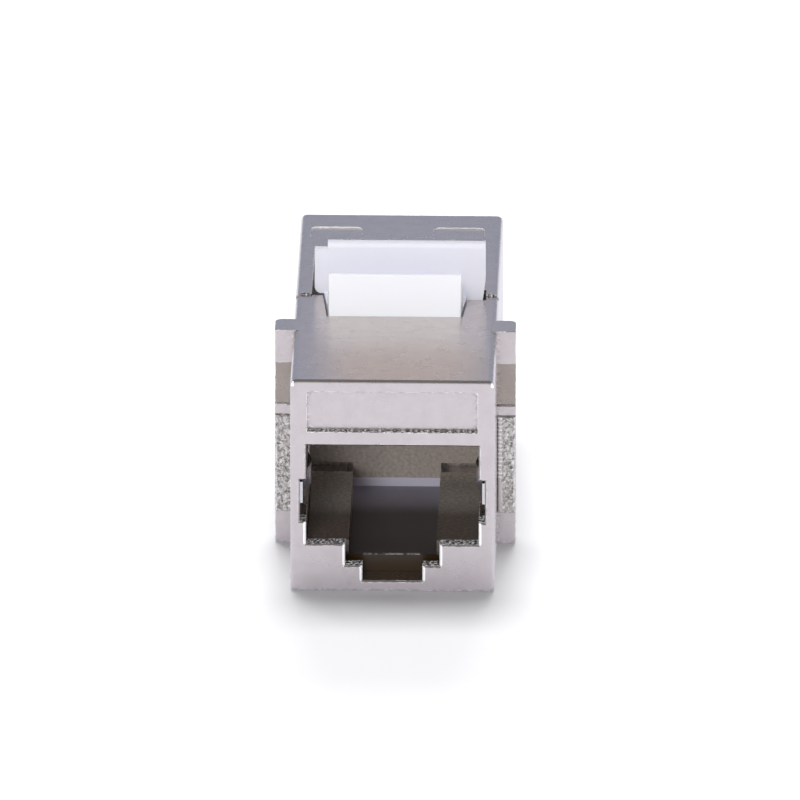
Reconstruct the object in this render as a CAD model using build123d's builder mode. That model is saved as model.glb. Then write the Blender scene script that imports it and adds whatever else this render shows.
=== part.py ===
import os

from build123d import *

# An in-line keystone coupler for shielded network cords, in millimetres.
# X runs across the body, Y runs from the front socket (-Y) to the rear one (+Y), Z is up.
# The origin is at the middle of the underside.

# Body castings
body_width = 14.5
body_length = 31.4
front_height = 16.15
front_roof_rise = 0.22
roof_step = 0.15
rear_roof_fall = 0.12
long_edge_radius = 0.45
face_edge_radius = 0.22
back_corner_radius = 0.42

# Socket mouth, the same at both ends
mouth_width = 12.25
mouth_floor = 3.6
mouth_top = 11.15
mouth_bevel = 0.12
mouth_wall = 1.07
keyway_width = 6.7
keyway_floor = 1.96
catch_width = 4.25
catch_floor = 0.83
spring_groove_depth = 0.45
spring_groove_floor = 5.3
spring_groove_top = 8.5
spring_groove_length = 9.5

# Room inside the castings
ceiling = 12.4
shelf_seat = 2.6
trough_width = 7.2
fit = 0.05

# Circuit board clamped between the castings
board_thickness = 1.0
board_width = 12.8
board_top = 12.55
board_shoulder = 3.7
board_tongue_width = 6.3
board_fit = 0.1
hole_radius = 0.28

# Black plug guide lying on the casting's floor
shelf_top = 3.5
channel_width = 6.26
channel_floor = 2.1
guide_start = 1.12
channel_start = 1.93
shelf_gap = 1.27
ramp_length = 0.5
ramp_rise = 0.45

# Contact carrier under the ceiling and its eight spring wires
contact_count = 8
contact_pitch = 1.02
wire = 0.35
wire_bend = 0.55
slot_width = 0.5
carrier_bottom = 10.75
carrier_start = 1.3
leg_height = 11.55
leg_front = 3.0
beam_end_depth = 9.0
beam_end_height = 8.75
beam_tip_rise = 0.7
tail_depth = 0.4

# Grounding springs in the side grooves
spring_thickness = 0.2
spring_width = 1.6
spring_bottom = 6.6
spring_start = 0.4
spring_end = 8.8
spring_crest = 4.4
spring_reach = 5.85
spring_foot = 0.9

# Label recess above the front mouth
label_width = 12.1
label_height = 3.06
label_roof_gap = 0.88
label_depth = 0.42

# Side wings of the front casting
wing_span = 17.15
wing_front = 9.2
wing_thickness = 2.1
wing_corner_radius = 0.5
wing_notch_top = 13.79
wing_notch_bottom = 10.55
wing_notch_depth = 1.2
wing_notch_ledge = 0.3
wing_foot_chamfer = 0.28
scar_bottom = 2.4
scar_top = 9.85
scar_height = 0.12
scar_margin = 0.12
scar_taper = 20.0

# Groove across the underside for the lower edge of a panel
panel_groove_lead = 0.05
panel_groove_width = 1.8
panel_groove_depth = 0.4

# Recess in the roof for the latch
recess_half = 6.1
recess_depth = 2.85
nose_slot_gap = 0.07
nose_slot_lead = 0.15
ear_notch_half = 6.34
ear_notch_lead = 0.25
ear_notch_trail = 0.25
pocket_width = 3.65
pocket_spacing = 8.78
pocket_shift = -0.24
pocket_back_gap = 2.7
pocket_run = 2.45
pocket_depth = 0.08
pocket_radius = 0.5

# Latch, with its heights counted from the floor of the recess
pivot_back_gap = 6.6
pivot_rise = 1.45
pivot_radius = 1.0
pivot_clearance = 0.05
pivot_end_gap = 0.3
seat_run = 1.6
seat_rise = 0.8
arm_half = 4.5
arm_bottom = 1.25
arm_top = 2.45
nose_underside = 1.7
nose_length = 1.48
nose_tip_bottom = 2.2
nose_tip_top = 2.7
nose_toe = 0.4
panel_gap = 1.8
ridge_height = 5.68
ridge_land = 0.35
gap_floor = 3.2
nose_shift = -0.1
nose_front_width = 9.5
nose_rear_width = 10.4
nose_draft = 2.0
plate_lead = 0.45
plate_thickness = 1.0
plate_top = 7.22
plate_top_radius = 0.35
plate_left = 4.95
right_ear_reach = 6.3
right_ear_taper_start = 4.5
right_ear_foot = 6.05
left_ear_reach = 5.9
left_ear_gap = 0.2
left_ear_top = 6.48
left_ear_bottom = 3.13
left_ear_corner = 0.5
rib_thickness = 0.8
rib_spacing = 6.0
rib_length = 3.2
rib_height = 5.9
latch_edge_radius = 0.12

seam = body_length / 2
board_front = seam - board_thickness / 2
front_seam_height = front_height + front_roof_rise
rear_seam_height = front_seam_height + roof_step
rear_height = rear_seam_height - rear_roof_fall
label_top = front_height - label_roof_gap
recess_floor = front_height - recess_depth
pivot_depth = body_length - pivot_back_gap
seat_front = pivot_depth - seat_run
plate_front = seam - plate_lead
plate_back = plate_front + plate_thickness
ridge_depth = plate_front - panel_gap
nose_start = ridge_depth - nose_length
pin_offsets = [(pin - (contact_count - 1) / 2) * contact_pitch for pin in range(contact_count)]


def y_at(depth):
    """Turns a depth behind the front face into the Y coordinate."""
    return depth - seam


def front_rectangle(low_x, high_x, low_z, high_z):
    """A rectangle in a sketch that faces the front, from its limits in X and Z."""
    with Locations(((low_x + high_x) / 2, (low_z + high_z) / 2)):
        Rectangle(high_x - low_x, high_z - low_z)


def plan_rectangle(low_x, high_x, low_depth, high_depth):
    """A rectangle in a sketch seen from above, from its limits in X and in depth."""
    with Locations(((low_x + high_x) / 2, y_at((low_depth + high_depth) / 2))):
        Rectangle(high_x - low_x, high_depth - low_depth)


def cross_plane(depth, base=0):
    """The plane across the body at a depth, facing the front, with its height counted from base."""
    return Plane(origin=(0, y_at(depth), base), x_dir=(1, 0, 0), z_dir=(0, -1, 0))


def side_plane(offset, base=0):
    """The plane along the body at an X offset, facing right, with its height counted from base."""
    return Plane(origin=(offset, 0, base), x_dir=(0, 1, 0), z_dir=(1, 0, 0))


def nose_outline(margin, lead):
    """The plan of the latch's nose, grown by a margin at the sides and by a lead at the front."""
    front_half = nose_front_width / 2 + margin
    rear_half = nose_rear_width / 2 + margin
    Polyline(
        (nose_shift - front_half, y_at(nose_start - lead)),
        (nose_shift + front_half, y_at(nose_start - lead)),
        (nose_shift + rear_half, y_at(plate_back)),
        (nose_shift - rear_half, y_at(plate_back)),
        close=True,
    )


# The empty room behind one mouth: the mouth itself, the stepped cavity and the board's rabbet
with BuildPart() as socket_room:
    with BuildSketch(cross_plane(mouth_wall)) as mouth:
        front_rectangle(-mouth_width / 2, mouth_width / 2, mouth_floor, mouth_top)
        front_rectangle(-keyway_width / 2, keyway_width / 2, keyway_floor, mouth_floor)
        front_rectangle(-catch_width / 2, catch_width / 2, catch_floor, keyway_floor)
    extrude(amount=mouth_wall)
    with BuildSketch(cross_plane(spring_groove_length)) as grooves:
        groove_half = mouth_width / 2 + spring_groove_depth
        front_rectangle(-groove_half, groove_half, spring_groove_floor, spring_groove_top)
    extrude(amount=spring_groove_length)
    with BuildSketch(cross_plane(seam)) as cavity:
        front_rectangle(-mouth_width / 2, mouth_width / 2, shelf_seat, ceiling)
        front_rectangle(-trough_width / 2, trough_width / 2, catch_floor, shelf_seat)
    extrude(amount=seam - mouth_wall)
    with BuildSketch(cross_plane(seam)) as rabbet:
        rabbet_half = board_width / 2 + board_fit
        front_rectangle(-rabbet_half, rabbet_half, board_shoulder - board_fit, board_top + board_fit)
    extrude(amount=board_thickness / 2)

# The recess for the latch: a wide rear part, the nose's slot, the ear's notch and the round seat
with BuildPart() as latch_room:
    with BuildSketch(Plane.XY.offset(recess_floor)) as deep_recess:
        plan_rectangle(-recess_half, recess_half, seam, seat_front)
        with BuildLine():
            nose_outline(nose_slot_gap, nose_slot_lead)
        make_face()
        notch_start = plate_front - ear_notch_lead
        plan_rectangle(0, ear_notch_half, notch_start, plate_back + ear_notch_trail)
    extrude(amount=rear_height)
    with BuildSketch(Plane.XY.offset(recess_floor + seat_rise)) as seat_mouth:
        plan_rectangle(-recess_half, recess_half, seat_front, pivot_depth)
    extrude(amount=rear_height)
    with BuildSketch(side_plane(-recess_half, recess_floor)) as seat:
        with Locations((y_at(pivot_depth), pivot_rise)):
            Circle(pivot_radius + pivot_clearance)
    extrude(amount=2 * recess_half)

# Front casting: the front half, its roof drafted toward the front, with the label recess and wings
with BuildPart() as front_housing:
    with BuildSketch(side_plane(-body_width / 2)) as front_profile:
        with BuildLine():
            Polyline(
                (y_at(0), 0),
                (y_at(0), front_height),
                (y_at(seam), front_seam_height),
                (y_at(seam), 0),
                close=True,
            )
        make_face()
    extrude(amount=body_width)
    long_edges = front_housing.edges().filter_by(lambda edge: abs((edge % 0).Y) > 0.9)
    fillet(long_edges, long_edge_radius)
    fillet(front_housing.faces().sort_by(Axis.Y)[0].edges(), face_edge_radius)
    add(socket_room.part, mode=Mode.SUBTRACT)
    mouth_edges = front_housing.faces().sort_by(Axis.Y)[0].inner_wires()[0].edges()
    chamfer(mouth_edges, mouth_bevel)
    with BuildSketch(cross_plane(label_depth)) as label:
        front_rectangle(-label_width / 2, label_width / 2, label_top - label_height, label_top)
    extrude(amount=label_depth, mode=Mode.SUBTRACT)
    with BuildSketch(cross_plane(wing_front + wing_thickness)) as wings:
        wing_root = body_width / 2 - long_edge_radius
        wing_top = front_height + front_roof_rise * wing_front / seam
        front_rectangle(wing_root, wing_span / 2, 0, wing_top)
        wing_foot = wings.vertices().group_by(Axis.X)[-1].sort_by(Axis.Y)[0]
        chamfer(wing_foot, wing_foot_chamfer)
        mirror(about=Plane.YZ)
    extrude(amount=wing_thickness)
    wing_edges = front_housing.edges().filter_by(Axis.Z)
    outer_corners = [wing_edges.group_by(Axis.X)[end].sort_by(Axis.Y)[-1] for end in (0, -1)]
    fillet(outer_corners, wing_corner_radius)
    for side in (-1, 1):
        with BuildSketch(side_plane(side * wing_span / 2)) as wing_notch:
            with BuildLine():
                Polyline(
                    (y_at(wing_front), wing_notch_bottom),
                    (y_at(wing_front), wing_notch_top),
                    (y_at(wing_front + wing_notch_depth), wing_notch_top),
                    (y_at(wing_front + wing_notch_ledge), wing_notch_bottom),
                    close=True,
                )
            make_face()
        extrude(amount=-side * (wing_span - body_width) / 2, mode=Mode.SUBTRACT)
    with BuildSketch(cross_plane(wing_front)) as scars:
        front_rectangle(
            body_width / 2 + scar_margin, wing_span / 2 - scar_margin, scar_bottom, scar_top
        )
        mirror(about=Plane.YZ)
    extrude(amount=scar_height, taper=scar_taper)
    with BuildSketch(Plane.XY) as panel_groove:
        panel_groove_start = ridge_depth - panel_groove_lead
        groove_end = panel_groove_start + panel_groove_width
        plan_rectangle(-body_width / 2, body_width / 2, panel_groove_start, groove_end)
    extrude(amount=panel_groove_depth, mode=Mode.SUBTRACT)
    add(latch_room.part, mode=Mode.SUBTRACT)

# Rear casting: the rear half, drafted toward the back, with the latch's seat and two shallow pockets
with BuildPart() as rear_housing:
    with BuildSketch(side_plane(-body_width / 2)) as rear_profile:
        with BuildLine():
            Polyline(
                (y_at(seam), 0),
                (y_at(seam), rear_seam_height),
                (y_at(body_length), rear_height),
                (y_at(body_length), 0),
                close=True,
            )
        make_face()
    extrude(amount=body_width)
    back_face = rear_housing.faces().sort_by(Axis.Y)[-1]
    fillet(back_face.edges().filter_by(Axis.Z), back_corner_radius)
    underside, *_, rear_roof = rear_housing.faces().sort_by(Axis.Z)
    seam_edges = rear_housing.faces().sort_by(Axis.Y)[0].edges()
    rim = underside.edges() + rear_roof.edges() - seam_edges
    fillet(rim, long_edge_radius)
    mirror(socket_room.part, about=Plane.XZ, mode=Mode.SUBTRACT)
    rear_mouth = rear_housing.faces().sort_by(Axis.Y)[-1].inner_wires()[0].edges()
    chamfer(rear_mouth, mouth_bevel)
    add(latch_room.part, mode=Mode.SUBTRACT)
    pocket_end = body_length - pocket_back_gap
    pocket_start = pocket_end - pocket_run
    with BuildSketch(Plane.XY.offset(rear_height - pocket_depth)) as pockets:
        pocket_middle = (pocket_end + pocket_start) / 2
        with Locations((pocket_shift, y_at(pocket_middle))):
            with GridLocations(pocket_spacing, 0, 2, 1):
                RectangleRounded(pocket_width, pocket_run, pocket_radius)
    extrude(amount=rear_roof_fall + pocket_depth, mode=Mode.SUBTRACT)

# Latch: one white moulding with a wedge nose, an upright release plate, an arm and a round root
with BuildPart() as keystone_latch:
    with BuildSketch(side_plane(-nose_rear_width, recess_floor)) as nose_side:
        with BuildLine():
            Polyline(
                (y_at(nose_start + nose_toe), nose_underside),
                (y_at(nose_start), nose_tip_bottom),
                (y_at(nose_start), nose_tip_top),
                (y_at(ridge_depth - ridge_land), ridge_height),
                (y_at(ridge_depth), ridge_height),
                (y_at(ridge_depth), gap_floor),
                (y_at(plate_back), gap_floor),
                (y_at(plate_back), nose_underside),
                close=True,
            )
        make_face()
    extrude(amount=2 * nose_rear_width)
    with BuildSketch(Plane.XY.offset(recess_floor + nose_underside)) as nose_plan:
        with BuildLine():
            nose_outline(0, 0)
        make_face()
    extrude(amount=ridge_height, taper=nose_draft, mode=Mode.INTERSECT)
    above_gap = keystone_latch.edges().filter_by(
        lambda edge: edge.center().Z > recess_floor + gap_floor + latch_edge_radius
    )
    fillet(above_gap, latch_edge_radius)
    with BuildSketch(cross_plane(plate_back, recess_floor)) as plate:
        with BuildLine():
            Polyline(
                (-plate_left, arm_bottom),
                (-plate_left, plate_top),
                (right_ear_reach, plate_top),
                (right_ear_reach, right_ear_taper_start),
                (right_ear_foot, arm_top),
                (nose_shift + nose_rear_width / 2, arm_top),
                (arm_half, arm_bottom),
                close=True,
            )
        make_face()
    extrude(amount=plate_thickness)
    fillet(keystone_latch.edges().filter_by(Axis.X).group_by(Axis.Z)[-1], plate_top_radius)
    with BuildSketch(cross_plane(plate_back, recess_floor)) as left_ear:
        front_rectangle(-left_ear_reach, -arm_half, left_ear_bottom, left_ear_top)
        fillet(left_ear.vertices().group_by(Axis.X)[0].sort_by(Axis.Z)[-1], left_ear_corner)
    extrude(amount=plate_back - seam - left_ear_gap)
    with BuildSketch(Plane.XY.offset(recess_floor + arm_bottom)) as arm:
        plan_rectangle(-arm_half, arm_half, plate_front + plate_thickness / 2, pivot_depth)
    extrude(amount=arm_top - arm_bottom)
    with BuildSketch(side_plane(pivot_end_gap - recess_half, recess_floor)) as root:
        with Locations((y_at(pivot_depth), pivot_rise)):
            Circle(pivot_radius)
    extrude(amount=2 * (recess_half - pivot_end_gap))
    for side in (-1, 1):
        with BuildSketch(side_plane(side * rib_spacing / 2 - rib_thickness / 2, recess_floor)) as rib:
            with BuildLine():
                Polyline(
                    (y_at(plate_back), arm_top),
                    (y_at(plate_back), rib_height),
                    (y_at(plate_back + rib_length), arm_top),
                    close=True,
                )
            make_face()
        extrude(amount=rib_thickness)

# Circuit board that joins the two rows of contacts, one plated hole for each pair
with BuildPart() as circuit_board:
    with BuildSketch(cross_plane(board_front + board_thickness)) as outline:
        front_rectangle(-board_width / 2, board_width / 2, board_shoulder, board_top)
        tongue_half = board_tongue_width / 2
        front_rectangle(-tongue_half, tongue_half, catch_floor, board_shoulder)
        with Locations([(offset, leg_height) for offset in pin_offsets]):
            Circle(hole_radius, mode=Mode.SUBTRACT)
    extrude(amount=board_thickness)

# Plug guide: a black moulding with two shelves and a channel that ends in a short ramp
with BuildPart() as front_guide:
    guide_half = mouth_width / 2 - fit
    shelf_end = board_front - shelf_gap
    with BuildSketch(cross_plane(shelf_end)) as shelves:
        front_rectangle(-guide_half, guide_half, shelf_seat, shelf_top)
    extrude(amount=shelf_end - guide_start)
    with BuildSketch(cross_plane(shelf_end)) as channel_block:
        block_half = trough_width / 2 - fit
        front_rectangle(-block_half, block_half, catch_floor, shelf_seat)
    extrude(amount=shelf_end - channel_start)
    with BuildSketch(cross_plane(seam)) as channel:
        front_rectangle(-channel_width / 2, channel_width / 2, channel_floor, shelf_top)
    extrude(amount=seam, mode=Mode.SUBTRACT)
    with BuildSketch(side_plane(-channel_width / 2)) as channel_side:
        with BuildLine():
            Polyline(
                (y_at(channel_start), catch_floor),
                (y_at(channel_start), channel_floor),
                (y_at(board_front - ramp_length), channel_floor),
                (y_at(board_front), channel_floor + ramp_rise),
                (y_at(board_front), catch_floor),
                close=True,
            )
        make_face()
    extrude(amount=channel_width)

# Contact carrier: a comb under the ceiling that holds the eight wires in open slots
with BuildPart() as front_carrier:
    with BuildSketch(cross_plane(board_front)) as carrier_face:
        front_rectangle(-guide_half, guide_half, carrier_bottom, ceiling)
    extrude(amount=board_front - carrier_start)
    with BuildSketch(Plane.XY.offset(carrier_bottom)) as slots:
        for offset in pin_offsets:
            plan_rectangle(
                offset - slot_width / 2, offset + slot_width / 2, leg_front - wire, board_front
            )
    extrude(amount=leg_height + wire / 2 - carrier_bottom, mode=Mode.SUBTRACT)

# Grounding spring: a bowed strip that lies in a side groove and touches the plug's shield
with BuildPart() as front_right_spring:
    groove_wall = mouth_width / 2 + spring_groove_depth
    strip_line = groove_wall - spring_thickness / 2
    crest_line = spring_reach + spring_thickness / 2
    with BuildSketch(Plane.XY.offset(spring_bottom)) as strip:
        with BuildLine():
            lead = Line((strip_line, y_at(spring_start)), (strip_line, y_at(spring_start + spring_foot)))
            bow = Spline(
                lead @ 1,
                (crest_line, y_at(spring_crest)),
                (strip_line, y_at(spring_end - spring_foot)),
                tangents=[(0, 1), (0, 1)],
            )
            Line(bow @ 1, (strip_line, y_at(spring_end)))
        trace(line_width=spring_thickness)
    extrude(amount=spring_width)

with BuildPart() as front_left_spring:
    mirror(front_right_spring.part, about=Plane.YZ)
with BuildPart() as rear_right_spring:
    mirror(front_right_spring.part, about=Plane.XZ)
with BuildPart() as rear_left_spring:
    mirror(front_left_spring.part, about=Plane.XZ)
with BuildPart() as rear_guide:
    mirror(front_guide.part, about=Plane.XZ)
with BuildPart() as rear_carrier:
    mirror(front_carrier.part, about=Plane.XZ)

pieces = {
    "front_housing": front_housing,
    "rear_housing": rear_housing,
    "keystone_latch": keystone_latch,
    "circuit_board": circuit_board,
    "front_guide": front_guide,
    "rear_guide": rear_guide,
    "front_carrier": front_carrier,
    "rear_carrier": rear_carrier,
    "front_left_spring": front_left_spring,
    "front_right_spring": front_right_spring,
    "rear_left_spring": rear_left_spring,
    "rear_right_spring": rear_right_spring,
}

# Contacts: eight gold-plated wires at each end, each a leg in its slot and a sprung beam below it
for number, offset in enumerate(pin_offsets, start=1):
    with BuildPart() as front_contact:
        with BuildSketch(side_plane(offset - wire / 2)) as wire_side:
            with BuildLine():
                FilletPolyline(
                    (y_at(board_front + tail_depth), leg_height),
                    (y_at(leg_front), leg_height),
                    (y_at(beam_end_depth), beam_end_height),
                    (y_at(beam_end_depth + beam_tip_rise), beam_end_height + beam_tip_rise),
                    radius=wire_bend,
                )
            trace(line_width=wire)
        extrude(amount=wire)
    with BuildPart() as rear_contact:
        mirror(front_contact.part, about=Plane.XZ)
    pieces[f"front_contact_{number}"] = front_contact
    pieces[f"rear_contact_{number}"] = rear_contact

os.makedirs("parts", exist_ok=True)
for name, piece in pieces.items():
    piece.part.label = name
    export_step(piece.part, f"parts/{name}.step")
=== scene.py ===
import math

import bmesh
import bpy
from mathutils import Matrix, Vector, noise


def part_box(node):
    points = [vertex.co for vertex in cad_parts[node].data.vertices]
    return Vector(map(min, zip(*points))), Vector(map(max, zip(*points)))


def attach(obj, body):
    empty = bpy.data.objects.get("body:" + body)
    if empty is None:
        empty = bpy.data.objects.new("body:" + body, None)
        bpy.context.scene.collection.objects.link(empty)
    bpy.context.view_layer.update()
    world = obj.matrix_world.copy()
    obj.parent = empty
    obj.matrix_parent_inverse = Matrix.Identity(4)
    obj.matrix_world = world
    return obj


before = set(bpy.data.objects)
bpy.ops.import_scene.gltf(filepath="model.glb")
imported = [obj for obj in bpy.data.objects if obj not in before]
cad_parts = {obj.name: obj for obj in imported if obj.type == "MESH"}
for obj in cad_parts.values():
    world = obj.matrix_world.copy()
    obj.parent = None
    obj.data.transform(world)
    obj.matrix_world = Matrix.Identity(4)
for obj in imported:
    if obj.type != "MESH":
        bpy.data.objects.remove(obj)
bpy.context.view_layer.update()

# Castings
# The shell is two zinc pressure die castings, front and rear, butted at mid length and plated
# with satin nickel. The front one carries the label recess, the mouth and the two side wings.

mm = 0.001
front_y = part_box("front_housing")[0].y
cloud_size = 0.9 * mm
streak_size = 0.7 * mm
dash_size = 0.35 * mm
fleck_size = 0.2 * mm
skin_size = 0.16 * mm
skin_depth = 0.04 * mm
edge_round = 0.09 * mm
hollow_reach = 0.5 * mm
fade = 0.05 * mm
sill_reach = 14.2 * mm
sill_low = 1.5 * mm
sill_top = 13.0 * mm
step_low = 16.3 * mm
step_reach = 1.0 * mm
rim_half = 6.8 * mm
rim_reach = 14.8 * mm
wing_start = 7.3 * mm
highlight_width = 0.17 * mm
# The edges of the front face painted white as highlights: half-width, lowest and highest point, in
# mm.
highlighted_edges = [(7.12, 15.8, 16.0), (6.2, 3.7, 5.2), (3.42, 2.1, 3.5), (2.2, 0.95, 1.85)]
# A colour mix takes its share and its two colours at these sockets.
share = 0
first = 6
second = 7


def linear(hex_colour):
    """An sRGB hex colour as linear RGBA."""
    parts = [int(hex_colour[i : i + 2], 16) / 255 for i in (1, 3, 5)]
    return (*[c / 12.92 if c <= 0.04045 else ((c + 0.055) / 1.055) ** 2.4 for c in parts], 1.0)


def feed(tree, node, links):
    """Sets inputs, in order or by name: each gets a value, or a link from a socket or a node."""
    for name, value in links.items() if isinstance(links, dict) else enumerate(links):
        if isinstance(value, bpy.types.Node):
            value = next(output for output in value.outputs if output.enabled)
        if isinstance(value, bpy.types.NodeSocket):
            tree.links.new(value, node.inputs[name])
        else:
            node.inputs[name].default_value = value


def add_node(tree, kind, links=(), **settings):
    """One node with its settings and its inputs."""
    node = tree.nodes.new(kind)
    for name, value in settings.items():
        setattr(node, name, value)
    feed(tree, node, links)
    return node


def new_finish(name):
    """A material with one principled shader."""
    material = bpy.data.materials.new(name)
    material.use_nodes = True
    return material, material.node_tree, material.node_tree.nodes["Principled BSDF"]


def grain(tree, size, detail=3.0, roughness=0.55, stretch=(1, 1, 1)):
    """Noise in the piece's own frame, with features of about that size, stretched along an axis."""
    place = add_node(tree, "ShaderNodeTexCoord")
    scale = [s / size for s in stretch]
    scaled = add_node(tree, "ShaderNodeMapping", {0: place.outputs["Object"], "Scale": scale})
    pattern = {"Vector": scaled, "Scale": 1.0, "Detail": detail, "Roughness": roughness}
    return add_node(tree, "ShaderNodeTexNoise", pattern)


def dress(names, material):
    """Gives CAD nodes a material."""
    for name in names:
        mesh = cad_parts[name].data
        mesh.materials.clear()
        mesh.materials.append(material)


def satin_nickel():
    """Zinc die casting, tumbled and nickel plated: a soft warm-grey mirror with a fine skin.

    Bright dashes along the outer edges and bright rims on the small walls in the roof are painted
    highlights. Inner corners, found by an occlusion test, the sills behind the mouth's rim and the
    step at the seam are flecked dark and white as painted shade and glints; the sills and the step
    also have a rough, matt casting skin. The real skin is finer: it is drawn as coarse as it needs
    to show.
    """
    material, tree, shader = new_finish("satin nickel on zinc casting")
    flat = add_node(tree, "ShaderNodeNewGeometry")
    rounded = add_node(tree, "ShaderNodeBevel", [edge_round], samples=6)
    turn = [rounded, flat.outputs["True Normal"]]
    turn = add_node(tree, "ShaderNodeVectorMath", turn, operation="DOT_PRODUCT").outputs["Value"]
    openness = add_node(tree, "ShaderNodeAmbientOcclusion", {"Distance": hollow_reach}, samples=4)
    openness = openness.outputs["AO"]
    facing = add_node(tree, "ShaderNodeSeparateXYZ", [flat.outputs["True Normal"]])
    steepness = add_node(tree, "ShaderNodeMath", [facing.outputs["Z"]], operation="ABSOLUTE")
    place = add_node(tree, "ShaderNodeTexCoord")
    where = add_node(tree, "ShaderNodeSeparateXYZ", [place.outputs["Object"]])
    across = add_node(tree, "ShaderNodeMath", [where.outputs["X"]], operation="ABSOLUTE")
    along = add_node(tree, "ShaderNodeMath", [where.outputs["Y"]], operation="ABSOLUTE")
    height = where.outputs["Z"]

    spans = {
        "tone": [grain(tree, cloud_size, detail=5.0), 0.35, 0.65, 0, 1],
        "fleck": [grain(tree, fleck_size), 0.47, 0.62, 0, 1],
        "dash": [grain(tree, dash_size, detail=1.0), 0.44, 0.52, 0, 1],
        "edge": [turn, 0.93, 0.995, 1, 0],
        "outer": [openness, 0.8, 0.95, 0, 1],
        # Occlusion picks out the inner corners, which get painted shade.
        "hollow_shade": [openness, 0.5, 0.8, 0.35, 0],
        "level": [facing.outputs["Z"], 0.7, 0.8, 0, 1],
        "forward": [facing.outputs["Y"], -0.8, -0.7, 1, 0],
        "upright": [steepness, 0.3, 0.4, 1, 0],
        "at_end": [along, sill_reach, sill_reach + fade, 0, 1],
        "above": [height, sill_low, sill_low + fade, 0, 1],
        "under": [height, sill_top, sill_top + fade, 1, 0],
        "raised": [height, step_low, step_low + fade, 0, 1],
        "at_seam": [along, step_reach, step_reach + fade, 1, 0],
        "off_seam": [along, step_reach, step_reach + fade, 0, 1],
        "inside": [across, rim_half, rim_half + fade, 1, 0],
        "short": [along, rim_reach, rim_reach + fade, 1, 0],
        "on_wing": [across, wing_start, wing_start + fade, 0, 1],
    }
    zone = {name: add_node(tree, "ShaderNodeMapRange", span) for name, span in spans.items()}
    areas = {
        "painted_highlight": ["edge", "outer", "dash"],
        "sill": ["level", "at_end", "above", "under"],
        "step": ["forward", "raised", "at_seam"],
        "rim": ["upright", "raised", "off_seam", "inside", "short"],
        "ledge": ["level", "under", "on_wing"],
    }
    for area, limits in areas.items():
        zone[area] = zone[limits[0]]
        for limit in limits[1:]:
            pair = [zone[area], zone[limit]]
            zone[area] = add_node(tree, "ShaderNodeMath", pair, operation="MULTIPLY")

    # Painted highlights: white dashes on the outer edges and white rims on the roof's small walls.
    painted_highlight = add_node(tree, "ShaderNodeMath", [zone["painted_highlight"], zone["rim"]], operation="MAXIMUM")
    folded = add_node(tree, "ShaderNodeCombineXYZ", [across, where.outputs["Y"], height])
    # Each listed edge of the front face gets a painted highlight.
    for x, low, high in highlighted_edges:
        level = add_node(tree, "ShaderNodeClamp", [height, low * mm, high * mm])
        nearest = add_node(tree, "ShaderNodeCombineXYZ", [x * mm, front_y, level])
        gap = [folded, nearest]
        gap = add_node(tree, "ShaderNodeVectorMath", gap, operation="DISTANCE").outputs["Value"]
        bright = add_node(tree, "ShaderNodeMapRange", [gap, 0.5 * highlight_width, highlight_width, 1, 0])
        painted_highlight = add_node(tree, "ShaderNodeMath", [painted_highlight, bright], operation="MAXIMUM")
    rough = add_node(tree, "ShaderNodeMath", [zone["sill"], zone["step"]], operation="MAXIMUM")
    # Inner corners, sills and the seam step take the dark and white flecks of painted shade and
    # glints.
    cast_and_shade = add_node(tree, "ShaderNodeMath", [rough, zone["hollow_shade"]], operation="MAXIMUM")
    matt = add_node(tree, "ShaderNodeMath", [painted_highlight, rough], operation="MAXIMUM")
    matt = add_node(tree, "ShaderNodeMath", [matt, zone["ledge"]], operation="MAXIMUM")

    plate = {share: zone["tone"], first: linear("#CFC7C3"), second: linear("#D4CDC9")}
    plate = add_node(tree, "ShaderNodeMix", plate, data_type="RGBA")
    # Dark and white flecks: painted shade and glints.
    cast_fleck_and_shade = {share: zone["fleck"], first: linear("#4A4648"), second: linear("#FFFFFF")}
    cast_fleck_and_shade = add_node(tree, "ShaderNodeMix", cast_fleck_and_shade, data_type="RGBA")
    skin = {share: cast_and_shade, first: plate, second: cast_fleck_and_shade}
    skin = add_node(tree, "ShaderNodeMix", skin, data_type="RGBA")
    # Painted highlights are white.
    colour = {share: painted_highlight, first: skin, second: linear("#FFFFFF")}
    colour = add_node(tree, "ShaderNodeMix", colour, data_type="RGBA")
    metallic = add_node(tree, "ShaderNodeMapRange", [matt, 0, 1, 1, 0.4])
    streaks = grain(tree, streak_size, detail=4.0, stretch=(0.5, 1, 1))
    gloss = add_node(tree, "ShaderNodeMapRange", [streaks, 0.3, 0.7, 0.25, 0.28])
    skin_bump = {
        "Height": grain(tree, skin_size, detail=2.0),
        "Strength": add_node(tree, "ShaderNodeMapRange", [turn, 0.85, 0.99, 0.4, 0.004]),
        "Distance": skin_depth,
        "Normal": rounded,
    }
    bump = add_node(tree, "ShaderNodeBump", skin_bump)
    shading = {"Base Color": colour, "Metallic": metallic, "Roughness": gloss, "Normal": bump}
    feed(tree, shader, shading)
    return material


dress(["front_housing", "rear_housing"], satin_nickel())

# Gate scars
# Each wing is where the casting's runner was broken off. The break leaves a coarse sparkling
# patch of torn zinc, plated over, on the front of the wing.

scar_low = 2.4 * mm
scar_high = 9.85 * mm
scar_inner = 7.29 * mm
scar_outer = 8.56 * mm
scar_face = front_y + 9.08 * mm
scar_relief = 0.16 * mm
# Shares of that relief: its mean height, its larger lumps, and what the sheared strip keeps.
mean_share = 0.35
lump_share = 0.6
sheared_share = 0.05
scar_sink = 0.05 * mm
scar_columns = 18
scar_rows = 110
# Each noise is cut at a place of its own, so that lumps and crumbs don't coincide.
lump_size = 0.35 * mm
lump_layer = 3.0 * mm
crumb_size = 0.12 * mm
crumb_layer = 7.0 * mm
facet_size = 0.22 * mm
facet_depth = 0.12 * mm
tick_low = 5.0 * mm
tick_end = 7.6 * mm
tick_pitch = 0.3 * mm


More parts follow.
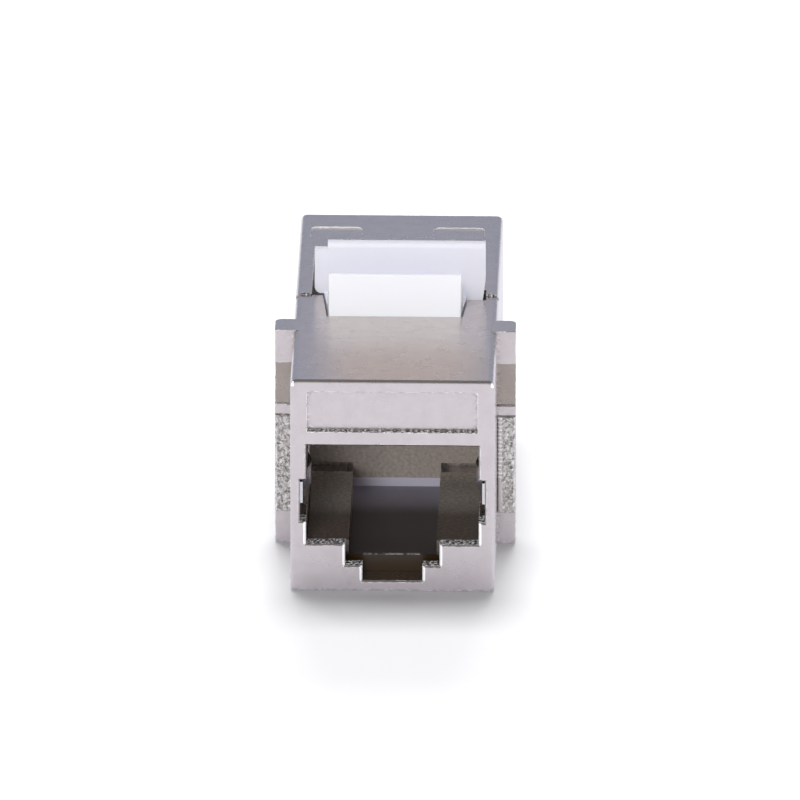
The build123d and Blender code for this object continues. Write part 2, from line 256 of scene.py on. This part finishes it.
def broken_zinc():
    """The same plating over a torn, crystalline face, so it glitters instead of shining.

    The right scar's inner strip was sheared smooth and carries a row of bright tool marks. The
    real crystals are finer: they are drawn as coarse as they need to show.
    """
    material, tree, shader = new_finish("nickel over broken zinc")
    facets = grain(tree, facet_size, detail=4.0, roughness=0.7)
    place = add_node(tree, "ShaderNodeTexCoord")
    where = add_node(tree, "ShaderNodeSeparateXYZ", [place.outputs["Object"]])
    turns = [where.outputs["Z"], 2 * math.pi / tick_pitch]
    turns = add_node(tree, "ShaderNodeMath", turns, operation="MULTIPLY")
    wave = add_node(tree, "ShaderNodeMath", [turns], operation="SINE")
    spans = {
        "facet": [facets, 0.35, 0.65, 0, 1],
        "crest": [wave, 0.2, 0.6, 0, 1],
        "right": [where.outputs["X"], 0, fade, 0, 1],
        "inner": [where.outputs["X"], tick_end, tick_end + fade, 1, 0],
        "raised": [where.outputs["Z"], tick_low, tick_low + fade, 0, 1],
    }
    zone = {name: add_node(tree, "ShaderNodeMapRange", span) for name, span in spans.items()}
    sheared = [zone["inner"], zone["right"]]
    sheared = add_node(tree, "ShaderNodeMath", sheared, operation="MULTIPLY")
    ticks = zone["crest"]
    for limit in (zone["raised"], sheared):
        ticks = add_node(tree, "ShaderNodeMath", [ticks, limit], operation="MULTIPLY")
    tint = {share: zone["facet"], first: linear("#9E9890"), second: linear("#FFFFFA")}
    tint = add_node(tree, "ShaderNodeMix", tint, data_type="RGBA")
    smooth = {share: sheared, first: tint, second: linear("#D2CCC9")}
    smooth = add_node(tree, "ShaderNodeMix", smooth, data_type="RGBA")
    colour = {share: ticks, first: smooth, second: linear("#FFFFFF")}
    colour = add_node(tree, "ShaderNodeMix", colour, data_type="RGBA")
    metallic = add_node(tree, "ShaderNodeMapRange", [ticks, 0, 1, 1, 0.3])
    relief = add_node(tree, "ShaderNodeMapRange", [sheared, 0, 1, 0.65, 0.03])
    facet_bump = {"Height": facets, "Strength": relief, "Distance": facet_depth}
    bump = add_node(tree, "ShaderNodeBump", facet_bump)
    shading = {"Base Color": colour, "Metallic": metallic, "Roughness": 0.3, "Normal": bump}
    feed(tree, shader, shading)
    return material


torn = broken_zinc()


def gate_scar(side):
    """A rough plate whose rim sinks into the wing's face and whose middle stands a little proud."""
    mesh = bmesh.new()
    grid = []
    for row in range(scar_rows + 1):
        z = scar_low + (scar_high - scar_low) * row / scar_rows
        points = []
        for column in range(scar_columns + 1):
            x = scar_inner + (scar_outer - scar_inner) * column / scar_columns
            rim = min(column, scar_columns - column, row, scar_rows - row)
            lift = scar_relief * min(1, rim / 2)
            sink = scar_sink if rim == 0 else 0
            lumps = noise.noise(Vector((side * x, lump_layer, z)) / lump_size)
            crumbs = noise.noise(Vector((side * x, crumb_layer, z)) / crumb_size)
            torn_share = sheared_share if side > 0 and x < tick_end else 1
            relief = torn_share * (lump_share * lumps + (1 - lump_share) * crumbs)
            y = scar_face - lift * (mean_share + relief) + sink
            points.append(mesh.verts.new((side * x, y, z)))
        grid.append(points)
    for row in range(scar_rows):
        for column in range(scar_columns):
            corners = [
                grid[row][column],
                grid[row][column + 1],
                grid[row + 1][column + 1],
                grid[row + 1][column],
            ]
            mesh.faces.new(corners if side > 0 else corners[::-1])
    data = bpy.data.meshes.new("gate_scar")
    mesh.to_mesh(data)
    mesh.free()
    data.materials.append(torn)
    name = "gate_scar_right" if side > 0 else "gate_scar_left"
    piece = bpy.data.objects.new(name, data)
    bpy.context.scene.collection.objects.link(piece)
    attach(piece, "shell")


for side in (-1, 1):
    gate_scar(side)

# Latch
# One injection moulding in white acetal with a smooth, slightly waxy skin. Its round root snaps
# into the rear casting and its nose holds the coupler in a wall plate.

nose_back = -2.2 * mm
plate_blend = 0.8 * mm
ripple_size = 0.4 * mm
ripple_depth = 0.05 * mm
scatter_reach = (0.6 * mm, 0.6 * mm, 0.7 * mm)


def white_acetal():
    """Natural white acetal: milky, a little translucent, with a soft satin gloss.

    The plate behind the nose is painted a little darker and bluer than the nose: painted shade.
    """
    material, tree, shader = new_finish("white acetal")
    place = add_node(tree, "ShaderNodeTexCoord")
    where = add_node(tree, "ShaderNodeSeparateXYZ", [place.outputs["Object"]])
    # Painted shade: darker and bluer from the back of the nose onwards.
    plate_shade = [where.outputs["Y"], nose_back, nose_back + plate_blend, 0, 1]
    plate_shade = add_node(tree, "ShaderNodeMapRange", plate_shade)
    milk_and_shade = {share: plate_shade, first: linear("#FAFBFF"), second: linear("#ECECF4")}
    milk_and_shade = add_node(tree, "ShaderNodeMix", milk_and_shade, data_type="RGBA")
    skin_bump = {"Height": grain(tree, ripple_size), "Strength": 0.04, "Distance": ripple_depth}
    milky = {
        "Base Color": milk_and_shade,
        "Roughness": 0.38,
        "IOR": 1.48,
        "Subsurface Weight": 0.2,
        "Subsurface Radius": scatter_reach,
        "Subsurface Scale": 1.0,
        "Normal": add_node(tree, "ShaderNodeBump", skin_bump),
    }
    feed(tree, shader, milky)
    return material


dress(["keystone_latch"], white_acetal())

# Plug guides
# Black glass-filled nylon mouldings that line the floor of each mouth: two matt shelves beside a
# polished channel for the plug's clip.

channel_half = 3.1 * mm
channel_floor = 2.06 * mm
ramp_reach = 1.0 * mm
sheen_reach = 6.5 * mm
shelf_reach = 10.0 * mm
lip_half = 2.1 * mm
lip_start = 13.52 * mm
edge_blur = 0.02 * mm
fibre_size = 0.25 * mm
fibre_depth = 0.04 * mm


def black_nylon():
    """Dark nylon: brown and matt on the shelves and polished in the channel. Painted light pales
    the shelves towards the far end, a painted bluish reflection brightens the channel towards it,
    and the pale ramp is a painted highlight.

    Glass fibres fleck it. They are finer than this and are drawn as coarse as they need to show.
    """
    material, tree, shader = new_finish("black nylon")
    speckle = grain(tree, fibre_size, detail=4.0)
    place = add_node(tree, "ShaderNodeTexCoord")
    where = add_node(tree, "ShaderNodeSeparateXYZ", [place.outputs["Object"]])
    across = add_node(tree, "ShaderNodeMath", [where.outputs["X"]], operation="ABSOLUTE")
    along = add_node(tree, "ShaderNodeMath", [where.outputs["Y"]], operation="ABSOLUTE")
    spans = {
        "fleck": [speckle, 0.4, 0.7, 0, 1],
        "chipped": [speckle, 0.44, 0.52, 0, 0.8],
        "channel": [across, channel_half, channel_half + edge_blur, 1, 0],
        "middle": [across, lip_half, lip_half + edge_blur, 1, 0],
        "ramp": [along, ramp_reach, ramp_reach + edge_blur, 1, 0],
        "deep": [along, ramp_reach, shelf_reach, 1, 0],
        "end": [along, lip_start, lip_start + edge_blur, 0, 1],
        "below": [where.outputs["Z"], channel_floor - edge_blur, channel_floor, 1, 0],
    }
    zone = {name: add_node(tree, "ShaderNodeMapRange", span) for name, span in spans.items()}
    # Painted reflection: the channel brightens and turns bluish towards the ramp.
    sheen = [along, ramp_reach, sheen_reach, 1, 0]
    sheen = add_node(tree, "ShaderNodeMapRange", sheen, interpolation_type="SMOOTHSTEP")
    lip = zone["end"]
    for limit in ("middle", "chipped"):
        lip = add_node(tree, "ShaderNodeMath", [lip, zone[limit]], operation="MULTIPLY")

    # Painted light: the shelves pale from dark brown at the front to near white at the far end.
    near = {share: zone["fleck"], first: linear("#352E2A"), second: linear("#574E47")}
    near = add_node(tree, "ShaderNodeMix", near, data_type="RGBA")
    far = {share: zone["fleck"], first: linear("#CDC3BA"), second: linear("#FFFAF4")}
    far = add_node(tree, "ShaderNodeMix", far, data_type="RGBA")
    shelf = {share: zone["deep"], first: near, second: far}
    shelf = add_node(tree, "ShaderNodeMix", shelf, data_type="RGBA")
    channel_sheen = {share: sheen, first: linear("#1D1A1D"), second: linear("#B4B4CE")}
    channel_sheen = add_node(tree, "ShaderNodeMix", channel_sheen, data_type="RGBA")
    # Painted highlight: the ramp is pale lavender.
    floor = {share: zone["ramp"], first: channel_sheen, second: linear("#E8E6F8")}
    floor = add_node(tree, "ShaderNodeMix", floor, data_type="RGBA")
    upper = {share: zone["channel"], first: shelf, second: floor}
    upper = add_node(tree, "ShaderNodeMix", upper, data_type="RGBA")
    edged = {share: lip, first: upper, second: linear("#86817D")}
    edged = add_node(tree, "ShaderNodeMix", edged, data_type="RGBA")
    colour = {share: zone["below"], first: edged, second: linear("#281D0E")}
    colour = add_node(tree, "ShaderNodeMix", colour, data_type="RGBA")
    gloss = add_node(tree, "ShaderNodeMapRange", [zone["channel"], 0, 1, 0.36, 0.3])
    relief = add_node(tree, "ShaderNodeMapRange", [zone["channel"], 0, 1, 0.18, 0.01])
    skin_bump = {"Height": speckle, "Strength": relief, "Distance": fibre_depth}
    bump = add_node(tree, "ShaderNodeBump", skin_bump)
    feed(tree, shader, {"Base Color": colour, "Roughness": gloss, "IOR": 1.5, "Normal": bump})
    return material


dress(["front_guide", "rear_guide"], black_nylon())

# Contact carriers
# Dark thermoplastic combs under the roof of each mouth. Each is injection moulded and holds its
# row of wires in slots.

resin_cloud = 0.3 * mm


def dark_resin():
    """Dark grey moulding resin with a dull, slightly clouded surface."""
    material, tree, shader = new_finish("dark moulding resin")
    tint = {share: grain(tree, resin_cloud), first: linear("#4A4442"), second: linear("#6A625E")}
    tint = add_node(tree, "ShaderNodeMix", tint, data_type="RGBA")
    feed(tree, shader, {"Base Color": tint, "Roughness": 0.5, "IOR": 1.5})
    return material


dress(["front_carrier", "rear_carrier"], dark_resin())

# Circuit board
# A glass-epoxy board that joins the two rows of contacts, seen as the back wall of the mouth. It
# stands upright in a rabbet between the castings.

weave_size = 0.25 * mm


def masked_laminate():
    """Glass epoxy under a grey-brown mask: smooth, half gloss, with a faint weave below."""
    material, tree, shader = new_finish("masked laminate")
    weave = grain(tree, weave_size, detail=4.0)
    weave = add_node(tree, "ShaderNodeMapRange", [weave, 0.3, 0.7, 0, 1])
    tint = {share: weave, first: linear("#9A9088"), second: linear("#BDB2AA")}
    tint = add_node(tree, "ShaderNodeMix", tint, data_type="RGBA")
    feed(tree, shader, {"Base Color": tint, "Roughness": 0.35, "IOR": 1.5})
    return material


dress(["circuit_board"], masked_laminate())

# Contacts
# Phosphor-bronze spring wires, eight at each end, bent cold and gold plated over nickel. Each
# is soldered into the board by its leg.

wear_size = 0.8 * mm


def gold_plate():
    """Hard gold plate: warm, bright and smooth, a little worn along the beam."""
    material, tree, shader = new_finish("gold plate on bronze wire")
    tint = {share: grain(tree, wear_size), first: linear("#E2B866"), second: linear("#F3D28A")}
    tint = add_node(tree, "ShaderNodeMix", tint, data_type="RGBA")
    feed(tree, shader, {"Base Color": tint, "Metallic": 1.0, "Roughness": 0.2})
    return material


dress([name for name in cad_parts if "_contact_" in name], gold_plate())

# Grounding springs
# Stainless strips that touch the plug's shield, pressed and bowed. One sits in each side groove
# of a mouth.

rolling_width = 0.15 * mm
rolling_stretch = (1, 0.08, 1)


def spring_steel():
    """Rolled stainless strip: bright, with fine lines along its length."""
    material, tree, shader = new_finish("rolled stainless strip")
    lines = grain(tree, rolling_width, detail=2.0, stretch=rolling_stretch)
    tint = {share: lines, first: linear("#C9C7C4"), second: linear("#E2E0DC")}
    tint = add_node(tree, "ShaderNodeMix", tint, data_type="RGBA")
    gloss = add_node(tree, "ShaderNodeMapRange", [lines, 0.3, 0.7, 0.16, 0.28])
    feed(tree, shader, {"Base Color": tint, "Metallic": 1.0, "Roughness": gloss})
    return material


dress([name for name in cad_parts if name.endswith("_spring")], spring_steel())

# Table and studio
# The coupler stands on a white table. Two soft boxes light the table and four the coupler, and
# two small ones are its glints. The metal mirrors a dim tent instead of the large ones: grey
# walls with a dark band under a grey ceiling.

table_half = 1.5
table_drop = 0.02 * mm
table_glow = 0.08
mirrored_near = 17 * mm
mirrored_far = 45 * mm
reflector_half = 5.6 * mm
reflector_y = 20 * mm
reflector_low = 25 * mm
reflector_high = 36 * mm
lamp_target = Vector((0, 0, 8 * mm))


def white_table():
    """Matt white board that keeps the object's shadow. In the metal's mirror it is a dim grey that
    glows, more the further it lies from the coupler: a painted reflection.
    """
    material, tree, shader = new_finish("white table")
    seen_by = add_node(tree, "ShaderNodeLightPath")
    glossy = seen_by.outputs["Is Glossy Ray"]
    board = {share: glossy, first: linear("#EFEFEF"), second: linear("#AFB0B6")}
    board = add_node(tree, "ShaderNodeMix", board, data_type="RGBA")
    feed(tree, shader, {"Base Color": board, "Roughness": 0.6})
    place = add_node(tree, "ShaderNodeTexCoord")
    reach = [place.outputs["Object"]]
    reach = add_node(tree, "ShaderNodeVectorMath", reach, operation="LENGTH").outputs["Value"]
    # Painted reflection: the mirrored table glows brighter with distance from the coupler.
    mirrored = [reach, mirrored_near, mirrored_far, 0.56, 0.65]
    mirrored = add_node(tree, "ShaderNodeMapRange", mirrored)
    strength = add_node(tree, "ShaderNodeMapRange", [glossy, 0, 1, table_glow, mirrored])
    tint = {share: glossy, first: linear("#FFFFFF"), second: linear("#E8E8F6")}
    tint = add_node(tree, "ShaderNodeMix", tint, data_type="RGBA")
    glow = add_node(tree, "ShaderNodeEmission", {"Color": tint, "Strength": strength})
    both = add_node(tree, "ShaderNodeAddShader", [shader, glow])
    direct = [seen_by.outputs["Is Camera Ray"], glossy]
    direct = add_node(tree, "ShaderNodeMath", direct, operation="MAXIMUM")
    chosen = add_node(tree, "ShaderNodeMixShader", [direct, shader, both])
    feed(tree, tree.nodes["Material Output"], {"Surface": chosen})
    return material


def flat_sheet(name, corners, material):
    """One flat face with four corners."""
    data = bpy.data.meshes.new(name)
    data.from_pydata(corners, [], [(0, 1, 2, 3)])
    data.materials.append(material)
    sheet = bpy.data.objects.new(name, data)
    bpy.context.scene.collection.objects.link(sheet)
    return sheet


table_corners = [(-1, -1), (1, -1), (1, 1), (-1, 1)]
table_corners = [(x * table_half, y * table_half, 0) for x, y in table_corners]
table = flat_sheet("table", table_corners, white_table())
table.location.z = -table_drop

world = bpy.data.worlds.new("studio")
bpy.context.scene.world = world
world.use_nodes = True
sky = world.node_tree
outlook = add_node(sky, "ShaderNodeTexCoord")
direction = add_node(sky, "ShaderNodeSeparateXYZ", [outlook.outputs["Generated"]])
behind = add_node(sky, "ShaderNodeMapRange", [direction.outputs["Y"], -0.3, 0.3, 0, 1])
rising = add_node(sky, "ShaderNodeMapRange", [direction.outputs["Z"], 0.35, 0.47, 0, 1])
upward = add_node(sky, "ShaderNodeMapRange", [direction.outputs["Z"], 0.5, 0.75, 0, 1])
overhead = add_node(sky, "ShaderNodeMapRange", [direction.outputs["Z"], 0.8, 0.95, 0, 1])
far_wall = {share: rising, first: linear("#AAB1C1"), second: linear("#C4CBE4")}
far_wall = add_node(sky, "ShaderNodeMix", far_wall, data_type="RGBA")
wall = {share: behind, first: linear("#C4C0BE"), second: far_wall}
wall = add_node(sky, "ShaderNodeMix", wall, data_type="RGBA")
ceiling = {share: overhead, first: linear("#3C3C40"), second: linear("#8E8D92")}
ceiling = add_node(sky, "ShaderNodeMix", ceiling, data_type="RGBA")
tent = {share: upward, first: wall, second: ceiling}
tent = add_node(sky, "ShaderNodeMix", tent, data_type="RGBA")
seen = add_node(sky, "ShaderNodeLightPath")
indirect = {share: seen.outputs["Is Glossy Ray"], first: linear("#97979C"), second: tent}
indirect = add_node(sky, "ShaderNodeMix", indirect, data_type="RGBA")
backdrop = {share: seen.outputs["Is Camera Ray"], first: indirect, second: linear("#FFFFFF")}
backdrop = add_node(sky, "ShaderNodeMix", backdrop, data_type="RGBA")
feed(sky, sky.nodes["Background"], {"Color": backdrop})


def lit_set(name, pieces):
    """A group of pieces for one lamp to light."""
    group = bpy.data.collections.new(name)
    for piece in pieces:
        group.objects.link(piece)
    return group


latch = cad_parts["keystone_latch"]
coupler = [piece for piece in bpy.context.scene.objects if piece.type == "MESH" and piece != table]
lit_table = lit_set("lit table", [table])
lit_coupler = lit_set("lit coupler", coupler)
lit_shell = lit_set("lit shell", [piece for piece in coupler if piece != latch])

# A small card of warm paper above and behind the rear end. Only the metal sees it, as the warm
# patch on the roof.
warm_paper, paper_tree, paper_shader = new_finish("warm paper")
paper = {
    "Base Color": linear("#000000"),
    "Roughness": 1.0,
    "Emission Color": linear("#EADCD4"),
    "Emission Strength": 0.85,
}
feed(paper_tree, paper_shader, paper)
reflector_corners = [
    (-reflector_half, reflector_y, reflector_low),
    (reflector_half, reflector_y, reflector_low),
    (reflector_half, reflector_y, reflector_high),
    (-reflector_half, reflector_y, reflector_high),
]
reflector = flat_sheet("reflector", reflector_corners, warm_paper)
reflector.visible_camera = False
reflector.visible_diffuse = False
reflector.visible_shadow = False


def soft_lamp(name, location, size, power, receivers, mirrored=False):
    """A square soft box that points at the coupler. The metal mirrors only the small ones."""
    data = bpy.data.lights.new(name, "AREA")
    data.shape = "SQUARE"
    data.size = size
    data.energy = power
    lamp = bpy.data.objects.new(name, data)
    bpy.context.scene.collection.objects.link(lamp)
    lamp.location = location
    lamp.rotation_euler = (lamp_target - Vector(location)).to_track_quat("-Z", "Y").to_euler()
    lamp.visible_glossy = mirrored
    lamp.light_linking.receiver_collection = receivers


soft_lamp("table_softbox", (-0.03, 0.22, 0.87), 0.34, 6.7, lit_table)
soft_lamp("low_softbox", (0.0, 0.8, 0.6), 0.34, 4.0, lit_table)
soft_lamp("back_softbox", (-0.15, 0.8, 0.45), 0.4, 1.2, lit_coupler)
soft_lamp("front_softbox", (-0.1, -0.72, 0.72), 0.4, 6.9, lit_coupler)
soft_lamp("mouth_light", (-0.3, -1.1, 0.22), 0.3, 3.6, lit_shell)
soft_lamp("deep_light", (-0.12, -1.2, 0.09), 0.2, 1.6, lit_shell)
for side in (-1, 1):
    soft_lamp("glint", (side * 0.55, -0.25, 0.5), 0.08, 0.25, lit_coupler, mirrored=True)

# Camera
# A long lens looks down on the front mouth from a little to the right, as the photograph does.
# It stands far off, so the perspective is almost flat.

camera_azimuth = math.radians(1.3)
camera_elevation = math.radians(22.1)
camera_distance = 2.4
camera_lens = 1512
sensor_width = 36
camera_target = Vector((0.19 * mm, 0, 8.33 * mm))

camera_data = bpy.data.cameras.new("camera")
camera_data.lens = camera_lens
camera_data.sensor_width = sensor_width
camera_data.clip_start = 0.1
camera_data.clip_end = 10
camera = bpy.data.objects.new("camera", camera_data)
bpy.context.scene.collection.objects.link(camera)
away = Vector(
    (
        math.sin(camera_azimuth) * math.cos(camera_elevation),
        -math.cos(camera_azimuth) * math.cos(camera_elevation),
        math.sin(camera_elevation),
    )
)
camera.location = camera_target + away * camera_distance
camera.rotation_euler = (-away).to_track_quat("-Z", "Y").to_euler()
bpy.context.scene.camera = camera
bpy.context.scene.view_settings.view_transform = "Standard"
